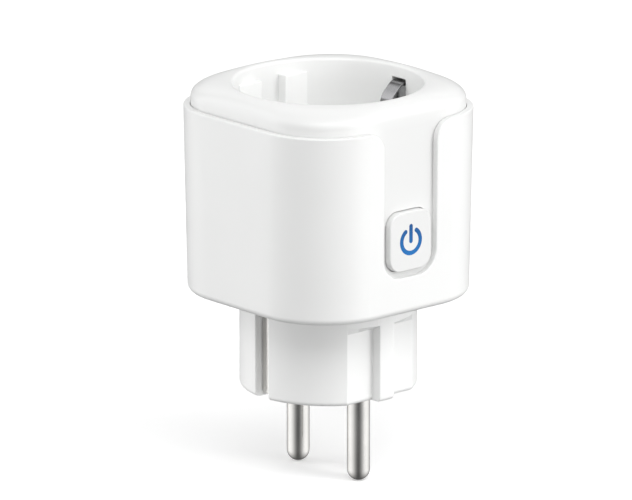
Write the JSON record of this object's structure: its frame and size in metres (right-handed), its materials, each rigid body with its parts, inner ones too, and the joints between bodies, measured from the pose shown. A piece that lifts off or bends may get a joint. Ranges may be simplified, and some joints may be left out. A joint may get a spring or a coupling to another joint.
{
  "type": "smart plug",
  "caption": "White square smart plug: a recessed round socket on top, a front push button with a power symbol, and a round plug boss with pins and side earth contacts below.",
  "frame": {"origin": "centre of the plug boss's flat end face, which the pins stand on and which rests in a wall outlet", "axes": "+Z from the pins to the socket; -Y is the front with the button; the pins stand on the Y axis and the earth contacts lie on the X axis"},
  "size_m": [0.0514, 0.0514, 0.0838],
  "materials": {
    "sleeve_plastic": "smooth white satin-gloss ABS",
    "housing_plastic": "smooth white gloss PC/ABS",
    "base_plastic": "smooth white satin PC/ABS",
    "button_plastic": "smooth white gloss",
    "icon_blue": "translucent blue light guide",
    "pin_nickel": "bright nickel plate",
    "earth_nickel": "nickel-plated spring strip",
    "contact_bronze": "plain phosphor bronze",
    "post_brass": "turned brass",
    "zinc_steel": "zinc-plated steel",
    "grey_nylon": "matt moulded nylon",
    "board_green": "solder-masked glass epoxy",
    "relay_blue": "moulded dark blue",
    "black_plastic": "moulded black",
    "capacitor_sleeve": "shrink-sleeved can",
    "coil_copper": "enamelled copper winding on a bobbin",
    "shunt_copper": "manganin strip",
    "plunger_white": "moulded white",
    "film_yellow": "potted yellow box",
    "fuse_coat": "lacquered body",
    "varistor_blue": "epoxy-coated disc",
    "ferrite": "ferrite drum in a sleeve",
    "led_lens": "clear-topped light",
    "shield_tin": "tin-plated can"
  },
  "bodies": {
    "case": {"outer_sleeve": "sleeve_plastic", "socket_housing": "housing_plastic", "plug_base": "base_plastic", "line_pin": "pin_nickel", "neutral_pin": "pin_nickel", "plug_earth_bracket": "earth_nickel", "socket_earth_bar": "earth_nickel", "contact_line": "contact_bronze", "contact_neutral": "contact_bronze", "earth_post": "post_brass", "case_screw_1": "zinc_steel", "case_screw_2": "zinc_steel", "case_screw_3": "zinc_steel", "case_screw_4": "zinc_steel", "cover_screw_1": "zinc_steel", "cover_screw_2": "zinc_steel", "relay_yoke": "zinc_steel", "shutter_cover": "grey_nylon", "main_board": "board_green", "control_board": "board_green", "wifi_board": "board_green", "relay_case": "relay_blue", "relay_base": "black_plastic", "switch_body": "black_plastic", "board_header": "black_plastic", "rectifier": "black_plastic", "metering_chip": "black_plastic", "filter_capacitor_1": "capacitor_sleeve", "filter_capacitor_2": "capacitor_sleeve", "relay_coil": "coil_copper", "current_shunt": "shunt_copper", "film_capacitor": "film_yellow", "fuse_resistor": "fuse_coat", "varistor": "varistor_blue", "buck_inductor": "ferrite", "filter_choke": "ferrite", "status_led": "led_lens", "wifi_shield": "shield_tin"},
    "button": {"button_cap": "button_plastic", "button_icon": "icon_blue"},
    "switch_key": {"switch_plunger": "plunger_white"},
    "shutter_disc": {"shutter": "grey_nylon", "shutter_spring": "zinc_steel"},
    "earth_spring_left": {"earth_clip_left": "earth_nickel"},
    "earth_spring_right": {"earth_clip_right": "earth_nickel"},
    "armature": {"relay_armature": "zinc_steel"}
  },
  "joints": [
    {"name": "button_press", "type": "slide", "parent": "case", "child": "button", "axis": [0, 1, 0], "range_m": [0, 0.0005], "stiffness_N_per_m": 1000},
    {"name": "switch_press", "type": "slide", "parent": "case", "child": "switch_key", "axis": [0, 1, 0], "range_m": [0, 0.0005]},
    {"name": "shutter_turn", "type": "hinge", "parent": "case", "child": "shutter_disc", "pos_m": [0, 0, 0.0419], "axis": [0, 0, 1], "range_deg": [0, 42], "stiffness_Nm_per_rad": 0.004},
    {"name": "earth_left_flex", "type": "hinge", "parent": "case", "child": "earth_spring_left", "pos_m": [-0.02085, 0, 0.0442], "axis": [0, -1, 0], "range_deg": [0, 4], "stiffness_Nm_per_rad": 0.7},
    {"name": "earth_right_flex", "type": "hinge", "parent": "case", "child": "earth_spring_right", "pos_m": [0.02085, 0, 0.0442], "axis": [0, 1, 0], "range_deg": [0, 4], "stiffness_Nm_per_rad": 0.7},
    {"name": "relay_pull", "type": "hinge", "parent": "case", "child": "armature", "pos_m": [0.0139, 0.0032, 0.0358], "axis": [-1, 0, 0], "range_deg": [0, 3.5], "stiffness_Nm_per_rad": 0.1}
  ],
  "couplings": [
    {"joint": "switch_press", "follows": "button_press", "ratio": 1}
  ]
}
